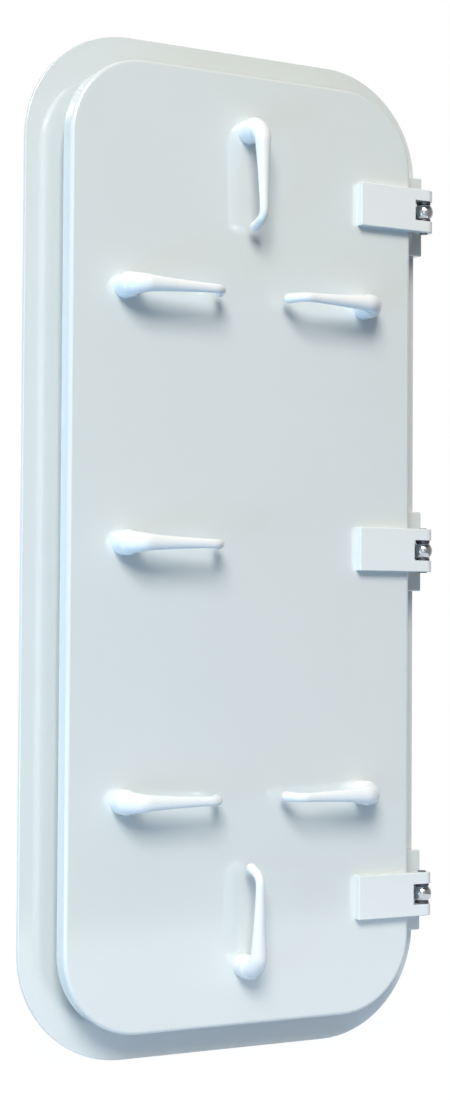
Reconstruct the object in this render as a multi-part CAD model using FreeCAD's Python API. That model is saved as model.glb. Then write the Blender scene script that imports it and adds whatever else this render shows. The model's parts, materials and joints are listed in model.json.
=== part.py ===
"""Individually dogged watertight door for a steel bulkhead, hinged on its right side.

Axes: +Z up, -Y outwards (the way the leaf opens), +X towards the hinges.
Origin: centre of the clear opening, on the bulkhead plane (back face of the frame flange).
All sizes are in millimetres.
"""
import FreeCAD, Part
import math
import os

V = FreeCAD.Vector
UP = V(0, 0, 1)

# ---- clear opening and frame -------------------------------------------------------------
CLEAR_WIDTH = 600.0
CLEAR_HEIGHT = 1600.0
CLEAR_RADIUS = 92.0         # corner radius of the clear opening
COAMING_WALL = 8.0
COAMING_SPIGOT = 40.0       # how far the coaming passes through the bulkhead
FLANGE_THICK = 8.0
FLANGE_MARGIN = 55.0        # flange beyond the leaf's edge, all round
FLANGE_EDGE_ROUND = 1.5
SEAL_BAR_DEPTH = 8.0
SEAL_BAR_NOSE = 3.6         # rounding of the bar's two front edges

# ---- leaf ----------------------------------------------------------------------------------
LEAF_OVERLAP = 50.0         # leaf's edge beyond the clear opening, all round
LEAF_STAND_OFF = 70.5       # leaf's front face ahead of the flange's front face
LEAF_DEPTH = 32.0
LEAF_PLATE = 6.0
LEAF_SIDE_WALL = 6.0
LEAF_BULLNOSE = 7.0
GASKET_WIDTH = 30.0
GASKET_DEPTH = 18.0
GASKET_CROWN = 3.0
GASKET_GAP = 0.3            # between the uncompressed gasket and the bar's nose
CHANNEL_WALL = 3.0
CHANNEL_WEB = 2.0
CHANNEL_LIP = 2.0           # channel legs past the gasket's face
STIFFENER_THICK = 6.0
STIFFENER_DEPTH = 22.0

# ---- hinges --------------------------------------------------------------------------------
HINGE_END = 212.0           # top and bottom hinges inside the leaf's ends
HINGE_AXIS_OUT = 30.0       # pin axis beyond the leaf's edge; it lies in the leaf's face plane
FORK_HEIGHT = 80.0
FORK_THICK = 16.0
FORK_PLATE_REACH = 148.0    # from the pin axis to the plate's inner end
FORK_SLOT_HEIGHT = 38.0
FORK_SLOT_REACH = 29.0      # from the pin axis to the slot's end
FORK_EDGE_CHAMFER = 1.2
PIN_RADIUS = 8.0
PIN_PROUD = 1.5
PIN_CLEARANCE = 0.05        # running fit in the eye
EYE_BALL_RADIUS = 18.0
EYE_HEIGHT = 28.0
SHANK_RADIUS = 10.0
SHANK_DEPTH_IN_BLOCK = 24.0
WASHER_RADIUS = 13.0
WASHER_CLEARANCE = 0.3
EYE_NUT_FLATS = 30.0
EYE_NUT_HEIGHT = 10.0
BLOCK_WIDTH = 50.0
BLOCK_DEPTH = 28.0
BLOCK_HEIGHT = 150.0
BLOCK_EDGE_ROUND = 3.0

# ---- dogs ----------------------------------------------------------------------------------
DOG_EDGE = 105.0            # spindle axis inside the leaf's edge
DOG_SIDE_END = 403.0        # upper and lower side dogs inside the leaf's ends
DOG_RUNNING_GAP = 0.4       # between a turning face and the face it runs against
GLAND_RADIUS = 22.0
GLAND_LENGTH = 33.0
PACKING_RADIUS = 15.5
PACKING_DEPTH = 8.0
PACKING_CLEARANCE = 0.1
SPINDLE_RADIUS = 11.0
SPINDLE_CLEARANCE = 0.05    # running fit in the gland
DRIVE_SQUARE = 15.0
DRIVE_DEPTH = 26.0          # square drive inside the lever's hub
STUD_RADIUS = 7.0
STUD_PROUD = 2.0
DOG_NUT_FLATS = 24.0
DOG_NUT_HEIGHT = 12.0
NUT_CHAMFER = 1.5

# outer lever: u runs along the arm from the spindle axis, v stands out from the leaf
LEVER_HUB_RADIUS = 24.5
LEVER_HUB_HEIGHT = 21.0     # straight part of the hub, under its dome
LEVER_ROOT_RISE = 51.0      # the arm's line above the leaf at the spindle axis
LEVER_TIP_RISE = 57.5       # the arm's line above the leaf where the tip bends back
LEVER_TIP_CORNER = 163.0    # from the spindle axis to that bend
LEVER_REACH = 177.0         # from the spindle axis to the end of the tip
LEVER_TIP_STAND_OFF = 27.0  # end of the tip above the leaf
LEVER_ELBOW = 26.0
LEVER_TIP_BEND = 27.0
LEVER_ROOT_RADIUS = 13.0
LEVER_TIP_RADIUS = 7.2

# inner dog: a toe that draws the leaf home on a wedge, and a handle for the inner side
WEDGE_SETBACK = 2.0         # wedge behind the sealing bar
WEDGE_THICK = 14.0
WEDGE_RAMP = 4.0            # how much thinner the wedge is where the toe enters
WEDGE_BEFORE = 34.0         # wedge length on the toe's entry side of the dog
WEDGE_AFTER = 20.0
WEDGE_HUB_CLEARANCE = 8.0
TOE_CLEARANCE = 0.4
TOE_THICK = 12.0
TOE_HALF_WIDTH = 13.0
TOE_END_CLEARANCE = 8.0     # between the toe's tip and the coaming
INNER_HUB_RADIUS = 21.0
HANDLE_RISE = 30.0          # handle's centre line behind the toe's front face
HANDLE_STEP = 26.0          # length over which the handle rises, beyond the hub
HANDLE_REACH = 140.0
HANDLE_BEND = 18.0
HANDLE_ROOT_RADIUS = 6.0
HANDLE_TIP_RADIUS = 7.5

# ---- places worked out from the sizes ---------------------------------------------------
LEAF_FACE = -(FLANGE_THICK + LEAF_STAND_OFF)
LEAF_INSIDE = LEAF_FACE + LEAF_PLATE
GASKET_FACE = LEAF_INSIDE + CHANNEL_WEB + GASKET_DEPTH
BAR_FRONT = GASKET_FACE + GASKET_GAP
COAMING_FRONT = BAR_FRONT + SEAL_BAR_DEPTH
LEAF_HALF_WIDTH = CLEAR_WIDTH / 2 + LEAF_OVERLAP
LEAF_HALF_HEIGHT = CLEAR_HEIGHT / 2 + LEAF_OVERLAP
FLANGE_HALF_WIDTH = LEAF_HALF_WIDTH + FLANGE_MARGIN
HINGE_X = LEAF_HALF_WIDTH + HINGE_AXIS_OUT
BLOCK_FRONT = -(FLANGE_THICK + BLOCK_DEPTH)
DOG_TO_COAMING = DOG_EDGE - LEAF_OVERLAP
GLAND_BACK = LEAF_FACE + GLAND_LENGTH
INNER_HUB_FRONT = GLAND_BACK + DOG_RUNNING_GAP
WEDGE_FRONT = COAMING_FRONT + WEDGE_SETBACK
WEDGE_BACK = WEDGE_FRONT + WEDGE_THICK
TOE_FRONT = WEDGE_BACK + TOE_CLEARANCE
TOE_BACK = TOE_FRONT + TOE_THICK

OUTER_HINGE_Z = LEAF_HALF_HEIGHT - HINGE_END
HINGES = {"top": OUTER_HINGE_Z, "middle": 0.0, "bottom": -OUTER_HINGE_Z}

# name: (x, z, hand, turn). A right-hand dog has its lever to -X and its toe down at rest,
# and its toe swings up to +X; a left-hand one is its mirror image. Turn is about +Y.
SIDE_X = LEAF_HALF_WIDTH - DOG_EDGE
SIDE_Z = LEAF_HALF_HEIGHT - DOG_SIDE_END
END_Z = LEAF_HALF_HEIGHT - DOG_EDGE
DOGS = {
    "top": (0.0, END_Z, "right", -90.0),
    "bottom": (0.0, -END_Z, "left", -90.0),
    "left_upper": (-SIDE_X, SIDE_Z, "left", 0.0),
    "left_middle": (-SIDE_X, 0.0, "left", 0.0),
    "left_lower": (-SIDE_X, -SIDE_Z, "left", 0.0),
    "right_upper": (SIDE_X, SIDE_Z, "right", 0.0),
    "right_lower": (SIDE_X, -SIDE_Z, "right", 0.0),
}
STIFFENER_LEVELS = ((END_Z + SIDE_Z) / 2, SIDE_Z / 2)   # midway between the rows of dogs

ON_PLANE = 1e-6             # how near a plane an edge lies to count as on it


# ---- helpers -------------------------------------------------------------------------------
def rounded_outline(half_width, half_height, radius, y):
    """Closed wire of a rounded rectangle about the Y axis, in the plane y."""
    flat_x = half_width - radius
    flat_z = half_height - radius
    diagonal = radius * math.sqrt(0.5)
    edges = []
    for quarter in range(4):
        sx, sz = ((1, 1), (-1, 1), (-1, -1), (1, -1))[quarter]
        nx, nz = ((-1, 1), (-1, -1), (1, -1), (1, 1))[quarter]
        side = V(sx * half_width, y, sz * flat_z)
        end = V(sx * flat_x, y, sz * half_height)
        start, finish = (side, end) if quarter % 2 == 0 else (end, side)
        middle = V(sx * (flat_x + diagonal), y, sz * (flat_z + diagonal))
        edges.append(Part.Arc(start, middle, finish).toShape())
        if quarter % 2 == 0:
            following = V(nx * flat_x, y, nz * half_height)
        else:
            following = V(nx * half_width, y, nz * flat_z)
        edges.append(Part.LineSegment(finish, following).toShape())
    return Part.Wire(edges)


def slab(grow, y_front, y_back):
    """Solid whose outline is the clear opening grown by `grow` on every side."""
    wire = rounded_outline(CLEAR_WIDTH / 2 + grow, CLEAR_HEIGHT / 2 + grow,
                           CLEAR_RADIUS + grow, y_front)
    return Part.Face(wire).extrude(V(0, y_back - y_front, 0))


def ring(outer, inner, y_front, y_back):
    """Ring between two grown outlines of the clear opening."""
    return slab(outer, y_front, y_back).cut(slab(inner, y_front, y_back))


def round_edges_at(shape, y, radius):
    """Fillet every edge that lies in the plane y."""
    edges = [e for e in shape.Edges
             if abs(e.BoundBox.YMin - y) < ON_PLANE and e.BoundBox.YLength < ON_PLANE]
    return shape.makeFillet(radius, edges)


def box_between(low, high):
    """Box between two opposite corners."""
    size = high - low
    return Part.makeBox(size.x, size.y, size.z, low)


def rod(x, z, radius, y_front, y_back):
    """Cylinder along Y."""
    return Part.makeCylinder(radius, y_back - y_front, V(x, y_front, z), V(0, 1, 0))


def hexagon(across_flats, length):
    """Nut blank along +Y from the origin, chamfered on its free end."""
    corner = across_flats / math.sqrt(3)
    points = [V(corner * math.sin(math.radians(60 * k)), 0,
                corner * math.cos(math.radians(60 * k))) for k in range(7)]
    blank = Part.Face(Part.makePolygon(points)).extrude(V(0, length, 0))
    cap_radius = across_flats / 2 - NUT_CHAMFER / 2
    outside = corner + NUT_CHAMFER
    cone_length = (outside - cap_radius) * math.tan(math.radians(30))
    straight = Part.makeCylinder(outside, length - cone_length, V(0, 0, 0), V(0, 1, 0))
    cone = Part.makeCone(outside, cap_radius, cone_length,
                         V(0, length - cone_length, 0), V(0, 1, 0))
    return blank.common(straight.fuse(cone)).removeSplitter()


def forged_arm(corners, bends, root_radius, tip_radius):
    """Round bar along straight runs and tangent arcs, tapered on its longest run.

    Corners are (u, v) points in the XY plane, with u towards -X and v towards -Y, and each
    inner corner is rounded with its own bend radius. The bar keeps its root radius up to
    the longest run and its tip radius after it, and ends in half a ball.
    """
    points = [V(-u, -v, 0) for u, v in corners]
    headings = [(b - a).normalize() for a, b in zip(points, points[1:])]
    turns = [before.getAngle(after) for before, after in zip(headings, headings[1:])]
    cut_back = [0.0] + [r * math.tan(t / 2) for r, t in zip(bends, turns)] + [0.0]
    runs = [(b - a).Length - cut_back[k] - cut_back[k + 1]
            for k, (a, b) in enumerate(zip(points, points[1:]))]
    longest = runs.index(max(runs))
    solids = []
    for k, heading in enumerate(headings):
        start = points[k] + heading * cut_back[k]
        first = root_radius if k <= longest else tip_radius
        last = root_radius if k < longest else tip_radius
        if first == last:
            solids.append(Part.makeCylinder(first, runs[k], start, heading))
        else:
            solids.append(Part.makeCone(first, last, runs[k], start, heading))
        if k < len(turns):
            solids.append(elbow(start + heading * runs[k], heading, headings[k + 1],
                                bends[k], last))
    solids.append(half_ball(tip_radius, points[-1], headings[-1]))
    return solids[0].fuse(solids[1:]).removeSplitter()


def half_ball(radius, centre, heading):
    """Half of a ball, with its flat side square to the heading and behind the centre."""
    return Part.makeSphere(radius, centre, heading, 0, 90, 360)


def elbow(start, before, after, bend, radius):
    """Bent piece of round bar from one heading to the next."""
    axis = before.cross(after).normalize()
    centre = start + axis.cross(before) * bend
    disc = Part.Face(Part.Wire(Part.Circle(start, before, radius).toShape()))
    return disc.revolve(centre, axis, math.degrees(before.getAngle(after)))


def place_dog(shape, name):
    """Move a part made for a right-hand dog at the origin to its own place on the leaf."""
    x, z, hand, turn = DOGS[name]
    placed = shape.copy()
    if hand == "left":
        placed = placed.mirror(V(0, 0, 0), V(1, 0, 0))
    placed.rotate(V(0, 0, 0), V(0, 1, 0), turn)
    placed.translate(V(x, 0, z))
    return placed


# ---- frame ---------------------------------------------------------------------------------
def make_flange():
    """Flat plate that lies on the bulkhead round the cut-out."""
    outer = slab(LEAF_OVERLAP + FLANGE_MARGIN, -FLANGE_THICK, 0)
    outer = round_edges_at(outer, -FLANGE_THICK, FLANGE_EDGE_ROUND)
    return outer.cut(slab(COAMING_WALL, -FLANGE_THICK, 0))


def make_coaming():
    """Plate bent round the clear opening; its back end passes through the bulkhead."""
    return ring(COAMING_WALL, 0, COAMING_FRONT, COAMING_SPIGOT)


def make_sealing_bar():
    """Rounded bar on the coaming's front edge that the gasket closes on."""
    bar = ring(COAMING_WALL, 0, BAR_FRONT, COAMING_FRONT)
    return round_edges_at(bar, BAR_FRONT, SEAL_BAR_NOSE)


def make_wedge():
    """Ramp on the coaming's inner wall, for a right-hand dog at the origin."""
    inner = INNER_HUB_RADIUS + WEDGE_HUB_CLEARANCE
    entry_back = WEDGE_BACK - WEDGE_RAMP
    profile = [V(inner, WEDGE_FRONT, -WEDGE_BEFORE), V(inner, WEDGE_FRONT, WEDGE_AFTER),
               V(inner, WEDGE_BACK, WEDGE_AFTER), V(inner, WEDGE_BACK, -TOE_HALF_WIDTH / 2),
               V(inner, entry_back, -WEDGE_BEFORE), V(inner, WEDGE_FRONT, -WEDGE_BEFORE)]
    return Part.Face(Part.makePolygon(profile)).extrude(V(DOG_TO_COAMING - inner, 0, 0))


def make_hinge_block(z):
    """Block on the flange that takes the eye bolt's thread."""
    block = box_between(V(FLANGE_HALF_WIDTH - BLOCK_WIDTH, BLOCK_FRONT, z - BLOCK_HEIGHT / 2),
                        V(FLANGE_HALF_WIDTH, -FLANGE_THICK, z + BLOCK_HEIGHT / 2))
    free = [e for e in block.Edges if e.BoundBox.YMin < -FLANGE_THICK - ON_PLANE]
    block = block.makeFillet(BLOCK_EDGE_ROUND, free)
    return block.cut(rod(HINGE_X, z, SHANK_RADIUS, BLOCK_FRONT,
                         BLOCK_FRONT + SHANK_DEPTH_IN_BLOCK))


def make_eye_bolt(z):
    """Ball-eyed bolt: the eye takes the hinge pin and the shank screws into the block."""
    half = EYE_HEIGHT / 2
    flat = math.degrees(math.asin(half / EYE_BALL_RADIUS))
    ball = Part.makeSphere(EYE_BALL_RADIUS, V(0, 0, 0), UP, -flat, flat, 360)
    tip = BLOCK_FRONT + SHANK_DEPTH_IN_BLOCK - LEAF_FACE
    shank = Part.makeCylinder(SHANK_RADIUS, tip, V(0, 0, 0), V(0, 1, 0))
    hole = Part.makeCylinder(PIN_RADIUS + PIN_CLEARANCE, EYE_HEIGHT, V(0, 0, -half), UP)
    bolt = ball.fuse(shank).removeSplitter().cut(hole)
    bolt.translate(V(HINGE_X, LEAF_FACE, z))
    return bolt


def make_eye_nut(z):
    """Lock nut that jams the eye bolt against its block."""
    nut = hexagon(EYE_NUT_FLATS, EYE_NUT_HEIGHT)
    nut = nut.cut(Part.makeCylinder(SHANK_RADIUS, EYE_NUT_HEIGHT, V(0, 0, 0), V(0, 1, 0)))
    nut.rotate(V(0, 0, 0), UP, 180)
    nut.translate(V(HINGE_X, BLOCK_FRONT, z))
    return nut


# ---- leaf ----------------------------------------------------------------------------------
def make_leaf_skin():
    """Shallow pressed pan with a rounded rim, open at the back, bored for the glands."""
    pan = slab(LEAF_OVERLAP, LEAF_FACE, LEAF_FACE + LEAF_DEPTH)
    pan = round_edges_at(pan, LEAF_FACE, LEAF_BULLNOSE)
    pan = pan.cut(slab(LEAF_OVERLAP - LEAF_SIDE_WALL, LEAF_INSIDE, LEAF_FACE + LEAF_DEPTH))
    for x, z, _, _ in DOGS.values():
        pan = pan.cut(rod(x, z, GLAND_RADIUS, LEAF_FACE, LEAF_INSIDE))
    return pan


def channel_offsets():
    """Inner and outer offsets of the gasket's sides from the clear opening."""
    middle = COAMING_WALL / 2
    return middle - GASKET_WIDTH / 2, middle + GASKET_WIDTH / 2


def make_gasket_channel():
    """Channel welded inside the pan that holds the gasket over the sealing bar."""
    inner, outer = channel_offsets()
    legs_end = GASKET_FACE + CHANNEL_LIP
    channel = ring(outer + CHANNEL_WALL, inner - CHANNEL_WALL, LEAF_INSIDE, legs_end)
    return channel.cut(ring(outer, inner, LEAF_INSIDE + CHANNEL_WEB, legs_end))


def make_gasket():
    """Solid rubber strip seated in the channel, with softened outer corners."""
    inner, outer = channel_offsets()
    gasket = ring(outer, inner, LEAF_INSIDE + CHANNEL_WEB, GASKET_FACE)
    return round_edges_at(gasket, GASKET_FACE, GASKET_CROWN)


def make_stiffeners():
    """Flat bars across the inside of the leaf, between the channel's inner legs."""
    inner, _ = channel_offsets()
    half_length = CLEAR_WIDTH / 2 + inner - CHANNEL_WALL
    bars = []
    for level in STIFFENER_LEVELS:
        for z in (level, -level):
            bars.append(box_between(
                V(-half_length, LEAF_INSIDE, z - STIFFENER_THICK / 2),
                V(half_length, LEAF_INSIDE + STIFFENER_DEPTH, z + STIFFENER_THICK / 2)))
    return Part.makeCompound(bars)


def make_fork(z):
    """Strap on the leaf's face that ends in two knuckles round the eye bolt."""
    half = FORK_HEIGHT / 2
    strap = box_between(V(HINGE_X - FORK_PLATE_REACH, LEAF_FACE - FORK_THICK, z - half),
                        V(HINGE_X, LEAF_FACE, z + half))
    knuckle = Part.makeCylinder(FORK_THICK, FORK_HEIGHT, V(HINGE_X, LEAF_FACE, z - half), UP)
    fork = strap.fuse(knuckle).removeSplitter()
    plate_end = HINGE_X - FORK_PLATE_REACH
    rim = [e for e in fork.Edges if e.BoundBox.YMin < LEAF_FACE - ON_PLANE
           and (e.BoundBox.ZLength < ON_PLANE or e.BoundBox.XMax < plate_end + ON_PLANE)]
    fork = fork.makeChamfer(FORK_EDGE_CHAMFER, rim)
    reach = FORK_THICK * 2
    slot = box_between(
        V(HINGE_X - FORK_SLOT_REACH, LEAF_FACE - reach, z - FORK_SLOT_HEIGHT / 2),
        V(HINGE_X + reach, LEAF_FACE + reach, z + FORK_SLOT_HEIGHT / 2))
    fork = fork.cut(slot)
    return fork.cut(Part.makeCylinder(PIN_RADIUS, FORK_HEIGHT,
                                      V(HINGE_X, LEAF_FACE, z - half), UP))


def make_pin(z):
    """Plain hinge pin pressed through both knuckles, with chamfered ends."""
    length = FORK_HEIGHT + 2 * PIN_PROUD
    pin = Part.makeCylinder(PIN_RADIUS, length, V(HINGE_X, LEAF_FACE, z - length / 2), UP)
    ends = [e for e in pin.Edges if e.BoundBox.ZLength < ON_PLANE]
    return pin.makeChamfer(PIN_PROUD / 2, ends)


def make_hinge_washers():
    """Thrust washers that fill the slot above and below each eye."""
    thick = (FORK_SLOT_HEIGHT - EYE_HEIGHT) / 2 - WASHER_CLEARANCE
    washers = []
    for z in HINGES.values():
        for base in (z - FORK_SLOT_HEIGHT / 2, z + FORK_SLOT_HEIGHT / 2 - thick):
            at = V(HINGE_X, LEAF_FACE, base)
            washer = Part.makeCylinder(WASHER_RADIUS, thick, at, UP)
            washers.append(washer.cut(Part.makeCylinder(PIN_RADIUS, thick, at, UP)))
    return Part.makeCompound(washers)


def make_glands():
    """Bushes through the leaf, each bored for its spindle and for the packing ring."""
    glands = []
    for x, z, _, _ in DOGS.values():
        gland = rod(x, z, GLAND_RADIUS, LEAF_FACE, GLAND_BACK)
        gland = gland.cut(rod(x, z, SPINDLE_RADIUS + SPINDLE_CLEARANCE, LEAF_FACE, GLAND_BACK))
        glands.append(gland.cut(rod(x, z, PACKING_RADIUS, GLAND_BACK - PACKING_DEPTH,
                                    GLAND_BACK)))
    return Part.makeCompound(glands)


def make_packings():
    """Rubber packing rings that keep water out along the spindles."""
    rings = []
    for x, z, _, _ in DOGS.values():
        body = rod(x, z, PACKING_RADIUS, GLAND_BACK - PACKING_DEPTH, GLAND_BACK)
        rings.append(body.cut(rod(x, z, SPINDLE_RADIUS + PACKING_CLEARANCE,
                                  GLAND_BACK - PACKING_DEPTH, GLAND_BACK)))
    return Part.makeCompound(rings)


# ---- dogs, each made right-handed with its spindle on the Y axis ------------------------------
def make_lever():
    """Forged outer lever: domed hub, goose neck, tapered arm and bent-back tip."""
    corners = [(0, DOG_RUNNING_GAP), (0, LEVER_ROOT_RISE), (LEVER_TIP_CORNER, LEVER_TIP_RISE),
               (LEVER_REACH, LEVER_TIP_STAND_OFF)]
    arm = forged_arm(corners, (LEVER_ELBOW, LEVER_TIP_BEND), LEVER_ROOT_RADIUS,
                     LEVER_TIP_RADIUS)
    hub = rod(0, 0, LEVER_HUB_RADIUS, -LEVER_HUB_HEIGHT, -DOG_RUNNING_GAP)
    dome = half_ball(LEVER_HUB_RADIUS, V(0, -LEVER_HUB_HEIGHT, 0), V(0, -1, 0))
    lever = arm.fuse([hub, dome]).removeSplitter()
    lever.translate(V(0, LEAF_FACE, 0))
    half = DRIVE_SQUARE / 2
    front = LEAF_FACE - DOG_RUNNING_GAP
    return lever.cut(box_between(V(-half, front - DRIVE_DEPTH, -half), V(half, front, half)))


def make_spindle():
    """Round journal through the gland, with a square drive at each end and a stud."""
    half = DRIVE_SQUARE / 2
    front = LEAF_FACE - DOG_RUNNING_GAP
    journal = rod(0, 0, SPINDLE_RADIUS, front, INNER_HUB_FRONT)
    drive = box_between(V(-half, front - DRIVE_DEPTH, -half), V(half, TOE_BACK, half))
    stud = rod(0, 0, STUD_RADIUS, INNER_HUB_FRONT, TOE_BACK + DOG_NUT_HEIGHT + STUD_PROUD)
    return journal.fuse([drive, stud]).removeSplitter()


def make_inner_dog():
    """Hub with a toe and, a quarter turn from it, the handle for the inner side."""
    tip_radius = DOG_TO_COAMING - TOE_END_CLEARANCE
    hub = rod(0, 0, INNER_HUB_RADIUS, INNER_HUB_FRONT, TOE_BACK)
    toe = box_between(V(-TOE_HALF_WIDTH, TOE_FRONT, -tip_radius), V(TOE_HALF_WIDTH, TOE_BACK, 0))
    toe = toe.common(rod(0, 0, tip_radius, TOE_FRONT, TOE_BACK))
    low = (TOE_FRONT + TOE_BACK) / 2
    high = TOE_FRONT + HANDLE_RISE
    corners = [(0, -low), (INNER_HUB_RADIUS, -low), (INNER_HUB_RADIUS + HANDLE_STEP, -high),
               (HANDLE_REACH, -high)]
    handle = forged_arm(corners, (HANDLE_BEND, HANDLE_BEND), HANDLE_ROOT_RADIUS,
                        HANDLE_TIP_RADIUS)
    dog = hub.fuse([toe, handle]).removeSplitter()
    half = DRIVE_SQUARE / 2
    return dog.cut(box_between(V(-half, INNER_HUB_FRONT, -half), V(half, TOE_BACK, half)))


def make_dog_nut():
    """Nut that clamps the inner dog on its spindle."""
    nut = hexagon(DOG_NUT_FLATS, DOG_NUT_HEIGHT)
    nut = nut.cut(Part.makeCylinder(STUD_RADIUS, DOG_NUT_HEIGHT, V(0, 0, 0), V(0, 1, 0)))
    nut.translate(V(0, TOE_BACK, 0))
    return nut


# ---- assembly ------------------------------------------------------------------------------
def make_parts():
    """Every node of the door by name."""
    parts = {
        "frame_flange": make_flange(),
        "frame_coaming": make_coaming(),
        "sealing_bar": make_sealing_bar(),
        "eye_bolt_nuts": Part.makeCompound([make_eye_nut(z) for z in HINGES.values()]),
        "leaf_skin": make_leaf_skin(),
        "leaf_stiffeners": make_stiffeners(),
        "gasket_channel": make_gasket_channel(),
        "gasket": make_gasket(),
        "hinge_washers": make_hinge_washers(),
        "spindle_glands": make_glands(),
        "gland_packings": make_packings(),
    }
    for name, z in HINGES.items():
        parts["hinge_block_" + name] = make_hinge_block(z)
        parts["eye_bolt_" + name] = make_eye_bolt(z)
        parts["hinge_fork_" + name] = make_fork(z)
        parts["hinge_pin_" + name] = make_pin(z)
    pieces = {"wedge": make_wedge(), "lever": make_lever(), "spindle": make_spindle(),
              "inner_dog": make_inner_dog(), "dog_nut": make_dog_nut()}
    for name in DOGS:
        for kind, shape in pieces.items():
            parts[kind + "_" + name] = place_dog(shape, name)
    return parts


os.makedirs("parts", exist_ok=True)
for node, shape in make_parts().items():
    if not shape.isValid():
        print("invalid:", node)
    shape.exportStep("parts/" + node + ".step")
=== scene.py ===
"""Dressed model of an individually dogged watertight door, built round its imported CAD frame.

The door's frame, leaf, hinges and wedges are the CAD solids with painted, turned and moulded
finishes. The levers are modelled here as one smooth forging each, and the welds and screw
threads are grown along paths by Geometry Nodes. Lengths are metres unless a name or a comment
says millimetres.
"""
import json
import logging
import math
from dataclasses import dataclass
from enum import Enum
from typing import Sequence

import bmesh
import bpy
from mathutils import Matrix, Vector


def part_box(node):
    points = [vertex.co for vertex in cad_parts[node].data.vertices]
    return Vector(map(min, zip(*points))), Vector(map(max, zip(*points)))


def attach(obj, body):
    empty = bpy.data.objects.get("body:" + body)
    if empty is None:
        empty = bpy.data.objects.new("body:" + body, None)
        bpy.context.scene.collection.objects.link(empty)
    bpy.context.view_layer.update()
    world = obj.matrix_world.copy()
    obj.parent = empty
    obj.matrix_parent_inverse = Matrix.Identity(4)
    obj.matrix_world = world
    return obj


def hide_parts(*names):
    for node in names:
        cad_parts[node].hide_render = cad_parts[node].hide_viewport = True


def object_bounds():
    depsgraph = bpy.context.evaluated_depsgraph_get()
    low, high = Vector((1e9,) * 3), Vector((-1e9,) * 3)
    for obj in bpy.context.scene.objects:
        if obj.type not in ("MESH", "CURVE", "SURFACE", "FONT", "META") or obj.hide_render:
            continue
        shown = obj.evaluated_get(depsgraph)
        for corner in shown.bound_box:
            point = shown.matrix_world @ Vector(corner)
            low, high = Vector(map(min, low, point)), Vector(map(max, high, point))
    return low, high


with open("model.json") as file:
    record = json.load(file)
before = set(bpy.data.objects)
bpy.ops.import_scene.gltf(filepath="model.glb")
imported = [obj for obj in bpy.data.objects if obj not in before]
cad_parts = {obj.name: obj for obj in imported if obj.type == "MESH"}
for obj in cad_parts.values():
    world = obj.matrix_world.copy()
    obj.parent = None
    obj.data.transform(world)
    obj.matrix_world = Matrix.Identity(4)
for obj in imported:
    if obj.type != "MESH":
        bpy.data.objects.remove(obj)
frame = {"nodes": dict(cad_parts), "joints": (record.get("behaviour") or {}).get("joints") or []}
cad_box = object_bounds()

MM = 0.001
LOG = logging.getLogger("watertight_door")
WHITE = (1.0, 1.0, 1.0, 1.0)
UP = Vector((0, 0, 1))
OUT = Vector((0, -1, 0))        # away from the bulkhead, the way the leaf opens


# ---- small helpers ---------------------------------------------------------------------------
def linear(hex_colour: str) -> tuple[float, float, float, float]:
    """Turn an sRGB hex colour into the linear RGBA that a shader socket takes.

    Args:
        hex_colour: six hex digits, with or without a leading hash.

    Returns:
        Linear red, green, blue and an alpha of one.
    """
    digits = hex_colour.lstrip("#")
    channels = []
    for start in (0, 2, 4):
        value = int(digits[start:start + 2], 16) / 255
        channels.append(value / 12.92 if value <= 0.04045 else ((value + 0.055) / 1.055) ** 2.4)
    return (*channels, 1.0)


def add_node(tree: bpy.types.NodeTree, kind: str, settings: dict | None = None,
             inputs: dict | None = None) -> bpy.types.Node:
    """Add a node to a tree, with its settings, its values and its links.

    Args:
        tree: the shader or geometry tree.
        kind: the node's Blender type name.
        settings: attributes of the node to set first.
        inputs: values or output sockets by input name or index.

    Returns:
        The new node.
    """
    node = tree.nodes.new(kind)
    for name, value in (settings or {}).items():
        setattr(node, name, value)
    for name, value in (inputs or {}).items():
        socket = node.inputs[name]
        if isinstance(value, bpy.types.NodeSocket):
            tree.links.new(value, socket)
        else:
            socket.default_value = value
    return node


def mesh_object(name: str, mesh: bpy.types.Mesh) -> bpy.types.Object:
    """Link a mesh into the scene.

    Args:
        name: of the new object.
        mesh: what it shows.

    Returns:
        The object, at the origin.
    """
    made = bpy.data.objects.new(name, mesh)
    bpy.context.scene.collection.objects.link(made)
    return made


def bake(source: bpy.types.Object) -> bpy.types.Object:
    """Replace an object by the plain mesh that its modifiers give.

    Args:
        source: object with live modifiers; it is removed.

    Returns:
        A new object of the same name with no modifiers.
    """
    name = source.name
    evaluated = source.evaluated_get(bpy.context.evaluated_depsgraph_get())
    mesh = bpy.data.meshes.new_from_object(evaluated)
    bpy.data.objects.remove(source)
    made = mesh_object(name, mesh)
    mesh.name = name
    return made


def dog_joints() -> list[dict]:
    """The joints that the seven dogs turn on, in the frame's order."""
    return [joint for joint in frame["joints"] if joint["child"].startswith("dog_")]


# ---- finishes ---------------------------------------------------------------------------------
class Surface(Enum):
    """How a surface was made, which sets the pattern of its bump."""

    SPRAYED = "sprayed"
    TURNED = "turned"
    MOULDED = "moulded"


# how much finer noise there is in the grain of a sprayed coat and of a mould's skin
GRAIN_DETAIL = {Surface.SPRAYED: 1.0, Surface.MOULDED: 4.0}


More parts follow.
